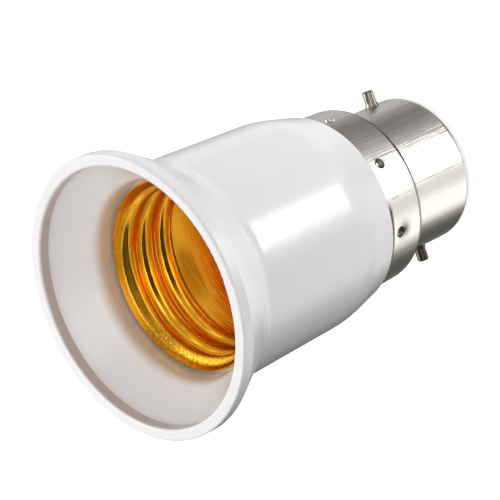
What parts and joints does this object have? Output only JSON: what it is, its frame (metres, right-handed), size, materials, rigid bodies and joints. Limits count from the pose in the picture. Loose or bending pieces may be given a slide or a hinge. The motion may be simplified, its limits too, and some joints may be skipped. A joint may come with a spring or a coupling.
{
  "type": "lamp socket adapter",
  "caption": "White flared lamp socket adapter with a gold screw-thread socket at its mouth and a nickel-plated bayonet cap with cross lugs at its other end.",
  "frame": {"origin": "on the axis, at the level of the two solder points that the part stands on", "axes": "+Z along the axis, out of the mouth of the screw socket; +X along a lug; +Y along the line of the two solder points"},
  "size_m": [0.0416, 0.0416, 0.059],
  "materials": {
    "white_plastic": "glossy white moulded plastic",
    "gold_shell": "bright gold-lacquered rolled brass sheet",
    "nickel_plate": "nickel plate on drawn sheet, with fine draw lines",
    "lug_nickel": "nickel-plated pins",
    "black_insulator": "black moulded insulator, slightly glossy",
    "contact_brass": "plain rolled brass",
    "rivet_brass": "turned brass, slightly dull",
    "solder": "flattened tin solder",
    "lead_brown": "brown flexible sleeve",
    "lead_blue": "blue flexible sleeve"
  },
  "bodies": {
    "root": {"housing": "white_plastic", "screw_shell": "gold_shell", "centre_contact": "contact_brass", "centre_rivet": "rivet_brass", "shell_rivet": "rivet_brass", "centre_lead": "lead_brown", "shell_lead": "lead_blue", "bayonet_cap": "nickel_plate", "bayonet_lug_1": "lug_nickel", "bayonet_lug_2": "lug_nickel", "cap_insulator": "black_insulator", "contact_1": "contact_brass", "contact_2": "contact_brass", "solder_1": "solder", "solder_2": "solder"}
  },
  "joints": []
}
